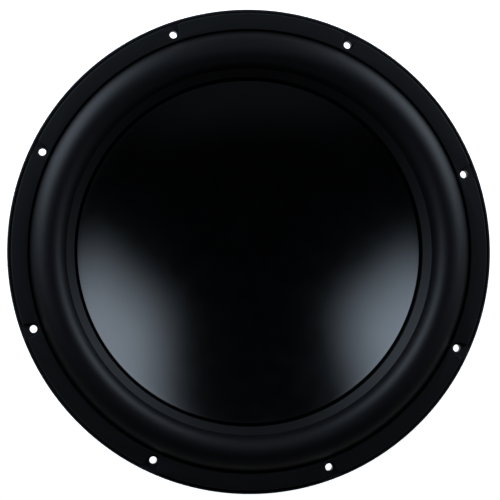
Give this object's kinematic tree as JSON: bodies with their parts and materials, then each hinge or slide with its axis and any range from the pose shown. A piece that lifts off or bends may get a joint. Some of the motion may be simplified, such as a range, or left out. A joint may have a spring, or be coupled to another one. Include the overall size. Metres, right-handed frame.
{
  "type": "car subwoofer speaker",
  "caption": "Round car subwoofer driver with one-piece concave dish cone, half-roll rubber surround, notched gasket ring, cast basket and booted double magnet.",
  "frame": {"origin": "centre of the flat face under the magnet boot, on the driver's axis", "axes": "+Z along the driver's axis from the magnet to the listener; +Y through one of the mounting holes and over terminal a; +X completes the right-handed frame"},
  "size_m": [0.392, 0.392, 0.2023],
  "materials": {
    "cast_black": "die-cast aluminium with satin black powder coat",
    "gasket_rubber": "matte charcoal moulded gasket",
    "surround_rubber": "satin black butyl half-roll",
    "dish_black": "smooth satin black polypropylene",
    "paper_black": "black pressed paper",
    "former_foil": "dark polyimide on foil",
    "copper": "enamelled copper",
    "spider_cloth": "resin-dipped woven cotton",
    "plated_steel": "black zinc plated steel",
    "bright_steel": "zinc plated steel",
    "ferrite": "sintered strontium ferrite",
    "aluminium": "turned aluminium",
    "boot_rubber": "moulded matte rubber",
    "terminal_black": "moulded black ABS",
    "button_red": "moulded red ABS",
    "button_black": "moulded black ABS",
    "tinsel": "braided tinsel cord"
  },
  "bodies": {
    "root": {"basket": "cast_black", "front_gasket": "gasket_rubber", "surround": "surround_rubber", "spider": "spider_cloth", "top_plate": "plated_steel", "magnet_upper": "ferrite", "magnet_lower": "ferrite", "yoke": "plated_steel", "shorting_ring": "aluminium", "vent_screen": "bright_steel", "magnet_boot": "boot_rubber", "plate_screw_1": "bright_steel", "plate_screw_2": "bright_steel", "plate_screw_3": "bright_steel", "plate_screw_4": "bright_steel", "plate_screw_5": "bright_steel", "plate_screw_6": "bright_steel", "terminal_a_housing": "terminal_black", "terminal_a_spring_red": "bright_steel", "terminal_a_contact_red": "copper", "tinsel_lead_a_red": "tinsel", "terminal_a_spring_black": "bright_steel", "terminal_a_contact_black": "copper", "tinsel_lead_a_black": "tinsel", "terminal_a_screw_1": "bright_steel", "terminal_a_screw_2": "bright_steel", "terminal_b_housing": "terminal_black", "terminal_b_spring_red": "bright_steel", "terminal_b_contact_red": "copper", "tinsel_lead_b_red": "tinsel", "terminal_b_spring_black": "bright_steel", "terminal_b_contact_black": "copper", "tinsel_lead_b_black": "tinsel", "terminal_b_screw_1": "bright_steel", "terminal_b_screw_2": "bright_steel"},
    "cone": {"dish_cone": "dish_black", "back_cone": "paper_black", "coil_former": "former_foil", "former_collar": "paper_black", "voice_coil": "copper"},
    "button_a_red": {"terminal_a_button_red": "button_red"},
    "button_a_black": {"terminal_a_button_black": "button_black"},
    "button_b_red": {"terminal_b_button_red": "button_red"},
    "button_b_black": {"terminal_b_button_black": "button_black"}
  },
  "joints": [
    {"name": "cone_travel", "type": "slide", "parent": "root", "child": "cone", "axis": [0, 0, 1], "range_m": [-0.014, 0.014], "stiffness_N_per_m": 7400, "deforming": ["surround", "spider", "tinsel_lead_a_red", "tinsel_lead_a_black", "tinsel_lead_b_red", "tinsel_lead_b_black"]},
    {"name": "button_a_red_press", "type": "slide", "parent": "root", "child": "button_a_red", "axis": [0, -1, 0], "range_m": [0, 0.004], "stiffness_N_per_m": 1500, "deforming": ["terminal_a_spring_red"]},
    {"name": "button_a_black_press", "type": "slide", "parent": "root", "child": "button_a_black", "axis": [0, -1, 0], "range_m": [0, 0.004], "stiffness_N_per_m": 1500, "deforming": ["terminal_a_spring_black"]},
    {"name": "button_b_red_press", "type": "slide", "parent": "root", "child": "button_b_red", "axis": [0, 1, 0], "range_m": [0, 0.004], "stiffness_N_per_m": 1500, "deforming": ["terminal_b_spring_red"]},
    {"name": "button_b_black_press", "type": "slide", "parent": "root", "child": "button_b_black", "axis": [0, 1, 0], "range_m": [0, 0.004], "stiffness_N_per_m": 1500, "deforming": ["terminal_b_spring_black"]}
  ]
}
